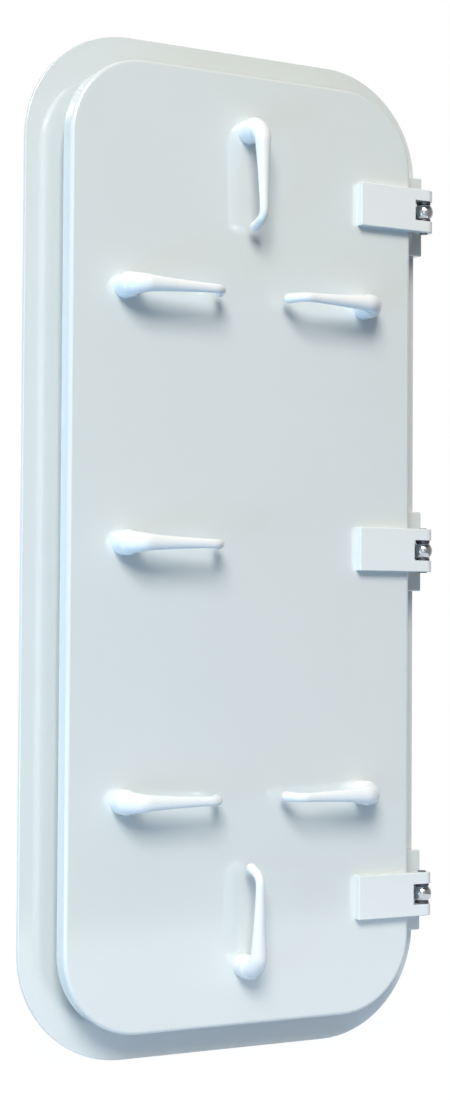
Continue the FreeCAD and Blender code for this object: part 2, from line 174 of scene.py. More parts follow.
@dataclass(frozen=True)
class Finish:
    """One real finish, built once as a procedural material.

    Attributes:
        name: what the real finish is called.
        colour: its main colour as sRGB hex.
        shade: the colour that it drifts to in broad, faint patches.
        roughness: mean roughness.
        metallic: one for bare metal.
        coat: weight of a clear gloss layer over the paint.
        ior: refractive index; a metal keeps 1.5.
        surface: how it was made.
        grain_mm: size of the finest mark that shows, in millimetres.
        relief_mm: height of that mark.
        patch_mm: size of the broad patches.
        patch_detail: finer noise in the patches.
        drift: share of its mean by which the roughness drifts with the patches.
        coat_share: roughness of the gloss layer, as a share of what is under it.
        ring_scale: scale of the wave that draws turning rings, for a grain of one.
        ring_wander: how far those rings stray from true circles.
    """

    name: str
    colour: str
    shade: str
    roughness: float
    metallic: float = 0.0
    coat: float = 0.0
    ior: float = 1.5
    surface: Surface = Surface.SPRAYED
    grain_mm: float = 3.0
    relief_mm: float = 0.01
    patch_mm: float = 160.0
    patch_detail: float = 3.0
    drift: float = 0.15
    coat_share: float = 0.5
    ring_scale: float = 0.25
    ring_wander: float = 0.6

    def material(self) -> bpy.types.Material:
        """Build the material, unless it is already there.

        Returns:
            The material of this name.
        """
        if self.name in bpy.data.materials:
            return bpy.data.materials[self.name]
        made = bpy.data.materials.new(self.name)
        made.use_nodes = True
        tree = made.node_tree
        shader = tree.nodes["Principled BSDF"]
        place = add_node(tree, "ShaderNodeTexCoord").outputs["Object"]
        patches = add_node(tree, "ShaderNodeTexNoise", {"noise_dimensions": "3D"},
                           {"Vector": place, "Scale": 1 / (self.patch_mm * MM),
                            "Detail": self.patch_detail})
        mixed = add_node(tree, "ShaderNodeMix", {"data_type": "RGBA"},
                         {"Factor": patches.outputs["Fac"]})
        mixed.inputs["A"].default_value = linear(self.colour)
        mixed.inputs["B"].default_value = linear(self.shade)
        rough = add_node(tree, "ShaderNodeMapRange", None,
                         {"Value": patches.outputs["Fac"],
                          "To Min": self.roughness * (1 - self.drift),
                          "To Max": self.roughness * (1 + self.drift)})
        bump = add_node(tree, "ShaderNodeBump", None,
                        {"Height": self._grain(tree, place), "Distance": self.relief_mm * MM})
        tree.links.new(mixed.outputs["Result"], shader.inputs["Base Color"])
        tree.links.new(rough.outputs["Result"], shader.inputs["Roughness"])
        tree.links.new(bump.outputs["Normal"], shader.inputs["Normal"])
        shader.inputs["Metallic"].default_value = self.metallic
        shader.inputs["Coat Weight"].default_value = self.coat
        shader.inputs["Coat Roughness"].default_value = self.roughness * self.coat_share
        shader.inputs["IOR"].default_value = self.ior
        return made

    def _grain(self, tree: bpy.types.NodeTree,
               place: bpy.types.NodeSocket) -> bpy.types.NodeSocket:
        """Add the fine pattern that the making of this surface leaves.

        Args:
            tree: the material's nodes.
            place: where on the piece, in its own coordinates.

        Returns:
            The pattern's height, from zero to one.
        """
        scale = 1 / (self.grain_mm * MM)
        if self.surface is Surface.TURNED:
            rings = add_node(tree, "ShaderNodeTexWave", {"bands_direction": "Z"},
                             {"Vector": place, "Scale": scale * self.ring_scale,
                              "Distortion": self.ring_wander})
            return rings.outputs["Fac"]
        noise = add_node(tree, "ShaderNodeTexNoise", None,
                         {"Vector": place, "Scale": scale,
                          "Detail": GRAIN_DETAIL[self.surface]})
        return noise.outputs["Fac"]


# Sprayed gloss enamel: pale, slightly cool, with a faint orange peel and clear reflections.
SHEET_ENAMEL = Finish("white_marine_enamel", "E0E6E5", "DCE3E2", 0.14, coat=1.0, ior=1.9,
                      grain_mm=5.0, relief_mm=0.003)
# The same enamel on planed bar, its colour painted a little whiter to stand in for the brighter
# light on the straps (painted light), with a softer gloss.
BAR_ENAMEL_PAINTED_LIGHTER = Finish("white_enamel_on_bar_painted_lighter", "EAEEEE", "E6EBEB", 0.2, coat=0.5,
                    grain_mm=5.0, relief_mm=0.003)
# The same enamel on forgings, its colour painted whiter still to stand in for the light on the
# levers' lit tops and sides (painted light), with a milky gloss that spreads over round shapes.
FORGING_ENAMEL_PAINTED_LIT = Finish("white_enamel_on_forging_painted_lit", "EEF1F2", "EAEEEF", 0.24, coat=0.4,
                        grain_mm=5.0, relief_mm=0.003)
# Black-oxide steel, polished: dark grey where the room is dim, with hard small highlights.
BLACK_STEEL = Finish("black_oxide_steel", "9AA1A8", "8C9399", 0.06, metallic=1.0,
                     surface=Surface.TURNED, grain_mm=0.8, relief_mm=0.0004, patch_mm=20)
# The ball eyes, buffed bright: dark above, pale below, with one hard highlight.
BUFFED_STEEL = Finish("buffed_steel_ball", "D2D7DB", "C6CBD0", 0.05, metallic=1.0,
                      grain_mm=2.0, relief_mm=0.0002, patch_mm=25)
# Turned stainless steel: mid grey, its highlights drawn out by fine turning marks.
STAINLESS = Finish("turned_stainless_steel", "A9ACAF", "9C9FA3", 0.28, metallic=1.0,
                   surface=Surface.TURNED, grain_mm=0.8, relief_mm=0.006, patch_mm=30)
# Machined bronze, dulled by air: brown gold, with soft highlights.
BRONZE = Finish("machined_bronze", "A98354", "8C6A40", 0.34, metallic=1.0,
                surface=Surface.TURNED, grain_mm=0.9, relief_mm=0.008, patch_mm=18)
# Moulded neoprene: black and matt, with the fine skin that its mould leaves.
NEOPRENE = Finish("moulded_neoprene", "26272A", "1D1E20", 0.62, surface=Surface.MOULDED,
                  grain_mm=1.2, relief_mm=0.03, patch_mm=60)


@dataclass
class Door:
    """The CAD solids that show as they are, sorted by how their names start.

    Where two starts fit a name, the longer one counts.

    Attributes:
        enamelled: plate and sheet.
        bars: the hinges' straps.
        forged: enamelled forgings.
        bright: bare stainless steel.
        black: black-oxide steel.
        balls: buffed steel.
        bronze: bushes.
        rubber: seals.
    """

    enamelled: tuple[str, ...] = ("frame_", "leaf_", "hinge_block_", "wedge_",
                                  "gasket_channel")
    bars: tuple[str, ...] = ("hinge_fork_",)
    forged: tuple[str, ...] = ("inner_dog_", "lever_")
    bright: tuple[str, ...] = ("sealing_bar", "spindle_", "dog_nut_")
    black: tuple[str, ...] = ("eye_bolt_nuts", "hinge_washers", "hinge_pin_")
    balls: tuple[str, ...] = ("eye_bolt_",)
    bronze: tuple[str, ...] = ("spindle_glands",)
    rubber: tuple[str, ...] = ("gasket", "gland_packings")

    def dress(self) -> None:
        """Give every CAD node the finish of its kind."""
        kinds = ((self.rubber, NEOPRENE), (self.bronze, BRONZE), (self.black, BLACK_STEEL),
                 (self.bright, STAINLESS), (self.enamelled, SHEET_ENAMEL),
                 (self.bars, BAR_ENAMEL_PAINTED_LIGHTER), (self.balls, BUFFED_STEEL),
                 (self.forged, FORGING_ENAMEL_PAINTED_LIT))
        for node, shown in frame["nodes"].items():
            matches = [(len(start), finish) for starts, finish in kinds for start in starts
                       if node.startswith(start)]
            finish = max(matches, key=lambda match: match[0])[1]
            shown.data.materials.clear()
            shown.data.materials.append(finish.material())
            LOG.info("%s: %s", node, finish.name)


# ---- levers -----------------------------------------------------------------------------------
@dataclass(frozen=True)
class Ring:
    """One oval section of a swept arm.

    Attributes:
        centre: as (u, v).
        heading: unit vector along the arm.
        wide: half its width.
        deep: half its thickness.
    """

    centre: Vector
    heading: Vector
    wide: float
    deep: float


@dataclass
class HandLevers:
    """The seven forged outer levers, one smooth piece each.

    A lever's own plane has u along the arm, from the spindle axis, and v out from the leaf.

    Attributes:
        hub_radius: of the hub's ball and of the drum under it.
        hub_rise: centre of that ball above the leaf.
        hub_root: what the blank has below the leaf's face, cut off at the end.
        foot: where the arm's centre line starts above the leaf.
        root_rise: arm's centre line above the leaf at the spindle axis.
        tip_rise: the same where the tip bends back.
        tip_corner: from the spindle axis to that bend.
        reach: from the spindle axis to the end of the tip.
        tip_stand_off: end of the tip above the leaf.
        elbow: radius of the goose neck's bend.
        tip_bend: radius of the tip's bend.
        running_gap: between the hub's flat base and the leaf.
        half_widths: half the arm's width in millimetres, by share of its length.
        half_depths: half its thickness in the same way.
        voxel: size at which ball, drum and arm are melted together.
        smoothing: passes that round the melted joint.
        smoothing_share: how far each pass goes.
        ring_step: spacing of the swept arm's rings.
        sides: of each ring.
        bend_steps: points along each bend.
        cap_rings: of the tip's rounded end.
        cap_least: size of the last of them, as a share of the tip's.
        hub_segments: round the hub.
        hub_bands: from pole to pole of its ball.
    """

    hub_radius: float = 22.5 * MM
    hub_rise: float = 22.0 * MM
    hub_root: float = 12.0 * MM
    foot: float = 4.0 * MM
    root_rise: float = 51.2 * MM
    tip_rise: float = 58.0 * MM
    tip_corner: float = 162.0 * MM
    reach: float = 174.0 * MM
    tip_stand_off: float = 25.0 * MM
    elbow: float = 27.0 * MM
    tip_bend: float = 22.0 * MM
    running_gap: float = 0.5 * MM
    half_widths: Sequence[tuple[float, float]] = (
        (0.0, 21.5), (0.1, 21.0), (0.19, 17.8), (0.28, 14.8), (0.36, 13.2), (0.45, 11.8),
        (0.54, 10.6), (0.64, 9.6), (0.72, 8.8), (0.85, 8.4), (1.0, 9.4))
    half_depths: Sequence[tuple[float, float]] = (
        (0.0, 21.5), (0.1, 19.5), (0.19, 15.0), (0.28, 12.6), (0.36, 11.3), (0.45, 10.0),
        (0.54, 9.0), (0.64, 8.1), (0.72, 7.3), (0.8, 6.9), (0.9, 8.0), (1.0, 9.2))
    voxel: float = 1.3 * MM
    smoothing: int = 14
    smoothing_share: float = 0.5
    ring_step: float = 3.0 * MM
    sides: int = 24
    bend_steps: int = 10
    cap_rings: int = 6
    cap_least: float = 0.02
    hub_segments: int = 48
    hub_bands: int = 32

    def build(self) -> None:
        """Build every lever in its place and let it stand for its CAD node."""
        master = self._forging()
        for joint in dog_joints():
            body = joint["child"]
            node = body.replace("dog_", "lever_", 1)
            piece = mesh_object(f"forged_{node}", master.data.copy())
            piece.data.transform(self._placing(node, Vector(joint["pos_m"])))
            # the forging enamel's whiter colour is painted light, not a different paint
            piece.data.materials.append(FORGING_ENAMEL_PAINTED_LIT.material())
            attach(piece, body)
            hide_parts(node)
            LOG.info("%s: %d faces", piece.name, len(piece.data.polygons))
        bpy.data.objects.remove(master)

    @staticmethod
    def _placing(node: str, spindle: Vector) -> Matrix:
        """Work out where a lever goes on the leaf at rest.

        Args:
            node: the CAD lever, which shows the way that its arm points.
            spindle: where its spindle meets the leaf's face.

        Returns:
            Matrix from the lever's own (u, side, v) axes to its place.
        """
        low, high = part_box(node)
        towards = (low + high) / 2 - spindle
        if abs(towards.x) > abs(towards.z):
            arm = Vector((math.copysign(1, towards.x), 0, 0))
        else:
            arm = Vector((0, 0, math.copysign(1, towards.z)))
        turn = Matrix((arm, OUT.cross(arm), OUT)).transposed().to_4x4()
        return Matrix.Translation(spindle) @ turn

    def _centre_line(self) -> list[Vector]:
        """Work out the arm's centre line, through both bends.

        Returns:
            Points along it as (u, v).
        """
        corners = [Vector((0, self.foot)), Vector((0, self.root_rise)),
                   Vector((self.tip_corner, self.tip_rise)),
                   Vector((self.reach, self.tip_stand_off))]
        line = [corners[0]]
        for before, corner, after, bend in zip(corners, corners[1:], corners[2:],
                                               (self.elbow, self.tip_bend)):
            line.extend(self._bend(before, corner, after, bend))
        line.append(corners[-1])
        return self._evenly(line, self.ring_step)

    def _bend(self, before: Vector, corner: Vector, after: Vector,
              radius: float) -> list[Vector]:
        """Round one corner by an arc that touches both of its sides.

        Args:
            before: the corner before this one.
            corner: the one to round.
            after: the one after it.
            radius: of the arc.

        Returns:
            Points along the arc.
        """
        arriving = (corner - before).normalized()
        leaving = (after - corner).normalized()
        turn = arriving.angle(leaving)
        start = corner - arriving * (radius * math.tan(turn / 2))
        inward = (leaving - arriving * leaving.dot(arriving)).normalized()
        centre = start + inward * radius
        angles = [turn * k / self.bend_steps for k in range(self.bend_steps + 1)]
        return [centre + arriving * radius * math.sin(angle) - inward * radius * math.cos(angle)
                for angle in angles]

    @staticmethod
    def _evenly(line: list[Vector], step: float) -> list[Vector]:
        """Respace a line of points.

        Args:
            line: the points.
            step: about how far apart they are wanted.

        Returns:
            Points at even steps along the same line.
        """
        lengths = [(b - a).length for a, b in zip(line, line[1:])]
        total = sum(lengths)
        count = max(2, round(total / step))
        spaced, walked, k = [], 0.0, 0
        for index in range(count + 1):
            wanted = total * index / count
            while k < len(lengths) - 1 and walked + lengths[k] < wanted:
                walked += lengths[k]
                k += 1
            share = (wanted - walked) / lengths[k] if lengths[k] else 0.0
            spaced.append(line[k].lerp(line[k + 1], min(share, 1.0)))
        return spaced

    @staticmethod
    def _at(table: Sequence[tuple[float, float]], share: float) -> float:
        """Read a size between the entries of its table.

        Args:
            table: pairs of a share of the arm's length and a size in millimetres.
            share: where along the arm.

        Returns:
            The size there, in metres.
        """
        for (s0, v0), (s1, v1) in zip(table, table[1:]):
            if share <= s1:
                t = (share - s0) / (s1 - s0)
                return (v0 + (v1 - v0) * t) * MM
        return table[-1][1] * MM

    def _rings(self) -> list[Ring]:
        """Work out the arm's sections.

        Returns:
            Those along its centre line, and those of its rounded end.
        """
        line = self._centre_line()
        count = len(line) - 1
        rings = []
        for k, point in enumerate(line):
            heading = (line[min(k + 1, count)] - line[max(k - 1, 0)]).normalized()
            rings.append(Ring(point, heading, self._at(self.half_widths, k / count),
                              self._at(self.half_depths, k / count)))
        end = rings[-1]
        for k in range(1, self.cap_rings + 1):
            angle = math.pi / 2 * k / self.cap_rings
            shrink = max(math.cos(angle), self.cap_least)
            rings.append(Ring(end.centre + end.heading * end.wide * math.sin(angle),
                              end.heading, end.wide * shrink, end.deep * shrink))
        return rings

    def _sweep_arm(self, shape: bmesh.types.BMesh) -> None:
        """Add the arm as a closed tube.

        Args:
            shape: the blank, to which it is added.
        """
        loops = []
        for ring in self._rings():
            normal = Vector((-ring.heading.y, ring.heading.x))
            loop = []
            for side in range(self.sides):
                angle = 2 * math.pi * side / self.sides
                offset = normal * ring.deep * math.cos(angle)
                loop.append(shape.verts.new((ring.centre.x + offset.x,
                                             ring.wide * math.sin(angle),
                                             ring.centre.y + offset.y)))
            loops.append(loop)
        for first, second in zip(loops, loops[1:]):
            for side in range(self.sides):
                following = (side + 1) % self.sides
                shape.faces.new((first[side], first[following], second[following],
                                 second[side]))
        shape.faces.new(loops[0])
        shape.faces.new(loops[-1])

    def _add_hub(self, shape: bmesh.types.BMesh) -> None:
        """Add the hub as a ball on a drum that reaches below the leaf's face.

        Args:
            shape: the blank, to which it is added.
        """
        bmesh.ops.create_uvsphere(shape, u_segments=self.hub_segments,
                                  v_segments=self.hub_bands, radius=self.hub_radius,
                                  matrix=Matrix.Translation((0, 0, self.hub_rise)))
        middle = (self.hub_rise - self.hub_root) / 2
        bmesh.ops.create_cone(shape, cap_ends=True, segments=self.hub_segments,
                              radius1=self.hub_radius, radius2=self.hub_radius,
                              depth=self.hub_rise + self.hub_root,
                              matrix=Matrix.Translation((0, 0, middle)))

    def _forging(self) -> bpy.types.Object:
        """Make the lever that the others are copied from.

        Returns:
            One lever at the origin, its arm swept and its hub melted on.
        """
        mesh = bpy.data.meshes.new("lever_blank")
        shape = bmesh.new()
        self._sweep_arm(shape)
        self._add_hub(shape)
        bmesh.ops.recalc_face_normals(shape, faces=shape.faces)
        shape.to_mesh(mesh)
        shape.free()
        blank = mesh_object("lever_blank", mesh)
        melt = blank.modifiers.new("melt", "REMESH")
        melt.mode = "VOXEL"
        melt.voxel_size = self.voxel
        smooth = blank.modifiers.new("smooth", "SMOOTH")
        smooth.factor = self.smoothing_share
        smooth.iterations = self.smoothing
        forged = bake(blank)
        self._flatten_base(forged.data)
        for face in forged.data.polygons:
            face.use_smooth = True
        return forged

    def _flatten_base(self, mesh: bpy.types.Mesh) -> None:
        """Cut the hub off flat where it runs on the leaf, and close it.

        Args:
            mesh: the forging's.
        """
        shape = bmesh.new()
        shape.from_mesh(mesh)
        cut = bmesh.ops.bisect_plane(shape, geom=shape.verts[:] + shape.edges[:] + shape.faces[:],
                                     plane_co=(0, 0, self.running_gap), plane_no=UP,
                                     clear_inner=True)
        rim = [e for e in cut["geom_cut"] if isinstance(e, bmesh.types.BMEdge)]
        bmesh.ops.holes_fill(shape, edges=rim)
        bmesh.ops.recalc_face_normals(shape, faces=shape.faces)
        shape.to_mesh(mesh)
        shape.free()


# ---- pieces that follow paths --------------------------------------------------------------------
@dataclass(frozen=True)
class Route:
    """A path that a weld bead follows.

    Attributes:
        points: along it.
        closed: whether it runs back to its first point.
    """

    points: list[Vector]
    closed: bool = False


class PathPiece:
    """What weld beads and threads share: a node tree with named inputs, set and then baked."""

    @staticmethod
    def _open_tree(name: str, inputs: Sequence[str]) -> tuple[bpy.types.NodeTree,
                                                              bpy.types.Node]:
        """Start a geometry tree.

        Args:
            name: of the tree.
            inputs: its named numbers, with lengths in metres.

        Returns:
            The tree and its entry node.
        """
        tree = bpy.data.node_groups.new(name, "GeometryNodeTree")
        tree.is_modifier = True
        kinds = {"Geometry": "NodeSocketGeometry", **dict.fromkeys(inputs, "NodeSocketFloat"),
                 "Finish": "NodeSocketMaterial"}
        for socket, kind in kinds.items():
            tree.interface.new_socket(socket, in_out="INPUT", socket_type=kind)
        tree.interface.new_socket("Geometry", in_out="OUTPUT", socket_type="NodeSocketGeometry")
        return tree, add_node(tree, "NodeGroupInput")

    @staticmethod
    def _close_tree(tree: bpy.types.NodeTree, entry: bpy.types.Node,
                    grown: bpy.types.NodeSocket) -> None:
        """End a tree in smooth, real faces with the finish on them.

        Args:
            tree: the geometry tree.
            entry: its entry node.
            grown: the geometry that it has made.
        """
        smooth = add_node(tree, "GeometryNodeSetShadeSmooth", None, {"Geometry": grown})
        real = add_node(tree, "GeometryNodeRealizeInstances", None,
                        {"Geometry": smooth.outputs[0]})
        painted = add_node(tree, "GeometryNodeSetMaterial", None,
                           {"Geometry": real.outputs[0], "Material": entry.outputs["Finish"]})
        add_node(tree, "NodeGroupOutput", None, {"Geometry": painted.outputs[0]})

    @staticmethod
    def _grow(name: str, guide: bpy.types.Mesh, tree: bpy.types.NodeTree,
              values: dict) -> bpy.types.Object:
        """Run a tree on a guide mesh and keep its result as a plain mesh.

        Args:
            name: of the piece.
            guide: what the tree starts from.
            tree: the geometry tree.
            values: the tree's inputs by name.

        Returns:
            The piece, with no modifier left on it.
        """
        piece = mesh_object(name, guide)
        grower = piece.modifiers.new("grow", "NODES")
        grower.node_group = tree
        for item in tree.interface.items_tree:
            if item.in_out == "INPUT" and item.name in values:
                grower[item.identifier] = values[item.name]
        return bake(piece)

    @staticmethod
    def _mount(piece: bpy.types.Object, body: str, slot: str) -> None:
        """Let a piece ride on its body, and report it.

        Args:
            piece: the finished piece.
            body: what it rides on.
            slot: not used.
        """
        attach(piece, body)
        LOG.info("%s: %d faces", piece.name, len(piece.data.polygons))


@dataclass
class WeldBeads(PathPiece):
    """Fillet welds, grown as rippled beads along the corners that they fill.

    Attributes:
        leg: half the bead's thickness.
        small_leg: the same at wedges and glands.
        ripple: spacing of the ripples; real ones are finer and would not show.
        ripple_points: points along each ripple.
        ripple_depth: share by which a ripple swells and thins the bead.
        unevenness: share by which the bead swells and thins as it goes.
        swell_scale: of the noise behind that.
        seed: of that noise.
        section_sides: of the bead.
        coaming_corner: radius of the coaming's outer corners.
        corner_steps: along each of them.
        gland_radius: of the bushes that are welded into the leaf.
        ring_points: round each of them.
        row_digits: of a height in metres, to tell one row of dogs from the next.
    """

    leg: float = 3.2 * MM
    small_leg: float = 2.2 * MM
    ripple: float = 4.0 * MM
    ripple_points: float = 3.0
    ripple_depth: float = 0.1
    unevenness: float = 0.35
    swell_scale: float = 60.0
    seed: float = 3.0
    section_sides: int = 8
    coaming_corner: float = 100.0 * MM
    corner_steps: int = 16
    gland_radius: float = 22.0 * MM
    ring_points: int = 48
    row_digits: int = 5

    def build(self) -> None:
        """Grow the beads of the frame and of the leaf."""
        tree = self._tree()
        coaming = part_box("frame_coaming")[1]
        flange_low, flange_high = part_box("frame_flange")
        rounds = [self._oblong(coaming.x, coaming.z, y) for y in (flange_low.y, flange_high.y)]
        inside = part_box("leaf_stiffeners")[0].y
        places = [(rounds, "weld_beads_coaming", "frame", self.leg),
                  (self._wedge_feet(), "weld_beads_wedges", "frame", self.small_leg),
                  (self._stiffener_feet(inside), "weld_beads_stiffeners", "leaf", self.leg),
                  (self._gland_feet(inside), "weld_beads_glands", "leaf", self.small_leg)]
        for routes, name, body, leg in places:
            piece = self._grow(name, self._guide(name, routes), tree,
                               {"Leg": leg, "Ripple": self.ripple,
                                "Unevenness": self.unevenness, "Seed": self.seed,
                                "Finish": SHEET_ENAMEL.material()})
            self._mount(piece, body, "white_enamel")

    def _tree(self) -> bpy.types.NodeTree:
        """Build the tree that turns edges into rippled beads.

        Returns:
            The tree, with inputs Leg, Ripple, Unevenness, Seed and Finish.
        """
        tree, entry = self._open_tree("weld_bead", ("Leg", "Ripple", "Unevenness", "Seed"))
        sizes = entry.outputs
        curve = add_node(tree, "GeometryNodeMeshToCurve", None, {"Mesh": sizes["Geometry"]})
        step = add_node(tree, "ShaderNodeMath", {"operation": "DIVIDE"},
                        {0: sizes["Ripple"], 1: self.ripple_points})
        even = add_node(tree, "GeometryNodeResampleCurve", {"mode": "LENGTH"},
                        {"Curve": curve.outputs[0], "Length": step.outputs[0]})
        along = add_node(tree, "GeometryNodeSplineParameter")
        turns = add_node(tree, "ShaderNodeMath", {"operation": "DIVIDE"},
                         {0: along.outputs["Length"], 1: sizes["Ripple"]})
        angle = add_node(tree, "ShaderNodeMath", {"operation": "MULTIPLY"},
                         {0: turns.outputs[0], 1: 2 * math.pi})
        wave = add_node(tree, "ShaderNodeMath", {"operation": "SINE"}, {0: angle.outputs[0]})
        noise = add_node(tree, "ShaderNodeTexNoise", {"noise_dimensions": "4D"},
                         {"W": sizes["Seed"], "Scale": self.swell_scale})
        centred = add_node(tree, "ShaderNodeMath", {"operation": "SUBTRACT"},
                           {0: noise.outputs["Fac"], 1: 0.5})
        swelling = add_node(tree, "ShaderNodeMath", {"operation": "MULTIPLY_ADD"},
                            {0: centred.outputs[0], 1: sizes["Unevenness"], 2: 1.0})
        rippled = add_node(tree, "ShaderNodeMath", {"operation": "MULTIPLY_ADD"},
                           {0: wave.outputs[0], 1: self.ripple_depth, 2: swelling.outputs[0]})
        radius = add_node(tree, "ShaderNodeMath", {"operation": "MULTIPLY"},
                          {0: rippled.outputs[0], 1: sizes["Leg"]})
        section = add_node(tree, "GeometryNodeCurvePrimitiveCircle", None,
                           {"Resolution": self.section_sides, "Radius": 1.0})
        bead = add_node(tree, "GeometryNodeCurveToMesh", None,
                        {"Curve": even.outputs[0], "Profile Curve": section.outputs[0],
                         "Scale": radius.outputs[0], "Fill Caps": True})
        self._close_tree(tree, entry, bead.outputs[0])
        return tree

    @staticmethod
    def _guide(name: str, routes: list[Route]) -> bpy.types.Mesh:
        """Turn routes into a mesh of edges only.

        Args:
            name: of the mesh.
            routes: what it holds.

        Returns:
            The mesh.
        """
        points, edges = [], []
        for route in routes:
            first = len(points)
            points.extend(route.points)
            edges.extend((k, k + 1) for k in range(first, len(points) - 1))
            if route.closed:
                edges.append((len(points) - 1, first))
        mesh = bpy.data.meshes.new(name)
        mesh.from_pydata(points, edges, [])
        return mesh

    def _oblong(self, half_x: float, half_z: float, y: float) -> Route:
        """Closed rectangle with the coaming's corners, about the Y axis.

        Args:
            half_x: half its width.
            half_z: half its height.
            y: of its plane.

        Returns:
            The route.
        """
        corner = self.coaming_corner
        path = []
        for quarter, (sx, sz) in enumerate(((1, 1), (-1, 1), (-1, -1), (1, -1))):
            for k in range(self.corner_steps + 1):
                angle = math.pi / 2 * (quarter + k / self.corner_steps)
                path.append(Vector((sx * (half_x - corner) + corner * math.cos(angle), y,
                                    sz * (half_z - corner) + corner * math.sin(angle))))
        return Route(path, closed=True)

    def _stiffener_feet(self, inside: float) -> list[Route]:
        """Find both feet of every flat bar across the leaf.

        The bars lie midway between the rows of dogs, two above the middle and two below.

        Args:
            inside: where the leaf's inner face is along Y.

        Returns:
            One straight route for each foot.
        """
        low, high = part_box("leaf_stiffeners")
        heights = {round(abs(joint["pos_m"][2]), self.row_digits) for joint in dog_joints()}
        side_row, end_row = sorted(heights)[-2:]
        outer, inner = (side_row + end_row) / 2, side_row / 2
        half = high.z - outer
        feet = []
        for level in (outer, inner, -inner, -outer):
            for z in (level - half, level + half):
                feet.append(Route([Vector((low.x, inside, z)), Vector((high.x, inside, z))]))
        return feet

    @staticmethod
    def _wedge_feet() -> list[Route]:
        """Find the front and two ends of every wedge where it meets the coaming.

        Returns:
            One open route round each wedge.
        """
        feet = []
        for node in frame["nodes"]:
            if not node.startswith("wedge_"):
                continue
            low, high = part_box(node)
            if node in ("wedge_top", "wedge_bottom"):
                wall = low.z if low.z < 0 else high.z
                corners = [(low.x, high.y, wall), (low.x, low.y, wall),
                           (high.x, low.y, wall), (high.x, high.y, wall)]
            else:
                wall = low.x if low.x < 0 else high.x
                corners = [(wall, high.y, low.z), (wall, low.y, low.z),
                           (wall, low.y, high.z), (wall, high.y, high.z)]
            feet.append(Route([Vector(corner) for corner in corners]))
        return feet

    def _gland_feet(self, inside: float) -> list[Route]:
        """Find the ring round every bush in the leaf.

        Args:
            inside: where the leaf's inner face is along Y.

        Returns:
            One circle for each bush.
        """
        radius = self.gland_radius
        angles = [2 * math.pi * k / self.ring_points for k in range(self.ring_points)]
        feet = []
        for joint in dog_joints():
            x, _, z = joint["pos_m"]
            ring = [Vector((x + radius * math.cos(angle), inside, z + radius * math.sin(angle)))
                    for angle in angles]
            feet.append(Route(ring, closed=True))
        return feet


@dataclass
class ScrewThreads(PathPiece):
    """Thread on the open part of each eye bolt's shank, grown as a helix.

    Attributes:
        shank_radius: where the ridge's centre line runs, just under the shank's surface.
        pitch: of a coarse M20 thread.
        crest: from the ridge's centre line to its edges.
        hidden_turns: inside the eye.
        turn_points: along each turn.
    """

    shank_radius: float = 9.9 * MM
    pitch: float = 2.5 * MM
    crest: float = 0.85 * MM
    hidden_turns: int = 2
    turn_points: int = 32

    def build(self) -> None:
        """Grow one ridge on each bolt, from its eye to its nut."""
        tree = self._tree()
        nut_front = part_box("eye_bolt_nuts")[0].y
        for node in frame["nodes"]:
            if not node.startswith("eye_bolt_") or node == "eye_bolt_nuts":
                continue
            low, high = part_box(node)
            eye = high.x - low.x
            start = low.y + eye - self.hidden_turns * self.pitch
            guide = bpy.data.meshes.new(node)
            guide.from_pydata([((low.x + high.x) / 2, start, (low.z + high.z) / 2)], [], [])
            piece = self._grow(f"thread_{node}", guide, tree,
                               {"Radius": self.shank_radius, "Length": nut_front - start,
                                "Pitch": self.pitch, "Crest": self.crest,
                                "Finish": BLACK_STEEL.material()})
            self._mount(piece, "frame", "black_oxide_steel")

    def _tree(self) -> bpy.types.NodeTree:
        """Build the tree that puts a sharp helical ridge on each point, along Y.

        Returns:
            The tree, with inputs Radius, Length, Pitch, Crest and Finish.
        """
        tree, entry = self._open_tree("screw_thread", ("Radius", "Length", "Pitch", "Crest"))
        sizes = entry.outputs
        turns = add_node(tree, "ShaderNodeMath", {"operation": "DIVIDE"},
                         {0: sizes["Length"], 1: sizes["Pitch"]})
        helix = add_node(tree, "GeometryNodeCurveSpiral", None,
                         {"Resolution": self.turn_points, "Rotations": turns.outputs[0],
                          "Start Radius": sizes["Radius"], "End Radius": sizes["Radius"],
                          "Height": sizes["Length"]})
        section = add_node(tree, "GeometryNodeCurvePrimitiveCircle", None,
                           {"Resolution": 4, "Radius": sizes["Crest"]})
        ridge = add_node(tree, "GeometryNodeCurveToMesh", None,
                         {"Curve": helix.outputs[0], "Profile Curve": section.outputs[0],
                          "Fill Caps": True})
        placed = add_node(tree, "GeometryNodeInstanceOnPoints", None,
                          {"Points": sizes["Geometry"], "Instance": ridge.outputs[0],
                           "Rotation": (-math.pi / 2, 0.0, 0.0)})
        self._close_tree(tree, entry, placed.outputs[0])
        return tree


# ---- studio -----------------------------------------------------------------------------------
@dataclass(frozen=True)
class Lamp:
    """One soft rectangular lamp, turned to the middle of the door's front.

    Attributes:
        name: of the lamp.
        place: of its centre.
        size: its width and height.
        power: in watts.
        colour: of its light as sRGB hex.
        diffuse: whether it lights matt paint.
        glossy: whether it shows in gloss.
    """

    name: str
    place: tuple[float, float, float]
    size: tuple[float, float]
    power: float
    colour: str = "FFFFFF"
    diffuse: bool = True
    glossy: bool = True

    def build(self, target: Vector) -> None:
        """Add the lamp to the scene.

        Args:
            target: what it is turned to.
        """
        data = bpy.data.lights.new(self.name, "AREA")
        data.shape = "RECTANGLE"
        data.size, data.size_y = self.size
        data.energy = self.power
        data.color = linear(self.colour)[:3]
        lamp = bpy.data.objects.new(self.name, data)
        bpy.context.scene.collection.objects.link(lamp)
        lamp.location = self.place
        lamp.visible_diffuse = self.diffuse
        lamp.visible_glossy = self.glossy
        way = target - Vector(self.place)
        lamp.rotation_euler = way.to_track_quat("-Z", "Y").to_euler()


